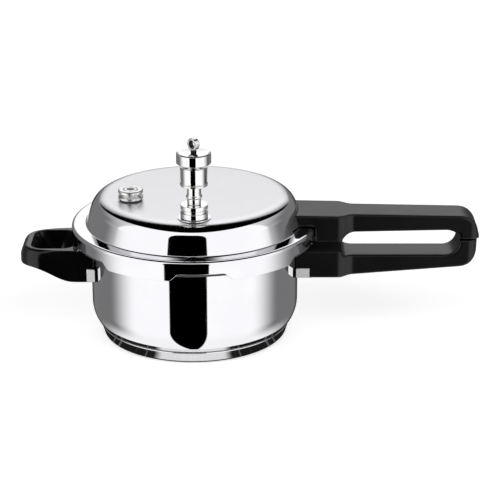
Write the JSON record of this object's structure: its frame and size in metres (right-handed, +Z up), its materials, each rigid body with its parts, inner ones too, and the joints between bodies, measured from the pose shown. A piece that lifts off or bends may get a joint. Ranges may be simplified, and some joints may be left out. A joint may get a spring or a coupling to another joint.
{
  "type": "pressure cooker",
  "caption": "Stovetop pressure cooker: polished pot with sandwich base, outer bayonet lid with lift-off weight valve and safety valve, black long handle and helper loop",
  "frame": {"origin": "centre of the flat underside of the base, on the pot axis", "axes": "+Z up the pot axis, +X along the long handle, -Y towards the side where the weight valve stands"},
  "size_m": [0.3909, 0.2084, 0.1909],
  "materials": {
    "polished_steel": "mirror-polished stainless steel",
    "core_aluminium": "plain rolled disc",
    "black_moulding": "satin black phenolic moulding",
    "seal_rubber": "matt moulded rubber",
    "plated_brass": "bright plated brass",
    "fusible_alloy": "dull soft alloy"
  },
  "bodies": {
    "pot": {"pot_shell": "polished_steel", "base_cap": "polished_steel", "base_core": "core_aluminium", "pot_handle_bracket": "polished_steel", "pot_handle_screw": "polished_steel", "pot_handle": "black_moulding", "helper_bracket": "polished_steel", "helper_screw_left": "polished_steel", "helper_screw_right": "polished_steel", "helper_handle": "black_moulding"},
    "lid": {"lid_shell": "polished_steel", "gasket": "seal_rubber", "lid_handle_bracket": "polished_steel", "lid_handle_screw": "polished_steel", "lid_handle": "black_moulding", "vent_washer": "polished_steel", "vent_nut": "plated_brass", "vent_tube": "plated_brass", "vent_lock_nut": "plated_brass", "safety_washer": "seal_rubber", "safety_body": "plated_brass", "fusible_plug": "fusible_alloy", "safety_lock_nut": "plated_brass"},
    "weight": {"weight_body": "plated_brass", "weight_cap": "plated_brass", "weight_needle": "polished_steel", "weight_clip": "polished_steel", "lifting_eye": "polished_steel"}
  },
  "joints": [
    {"name": "lid_turn", "type": "hinge", "parent": "pot", "child": "lid", "pos_m": [0, 0, 0.0853], "axis": [0, 0, 1], "range_deg": [0, 30]},
    {"name": "weight_lift", "type": "slide", "parent": "lid", "child": "weight", "axis": [0, 0, 1], "range_m": [0, 0.025]}
  ]
}
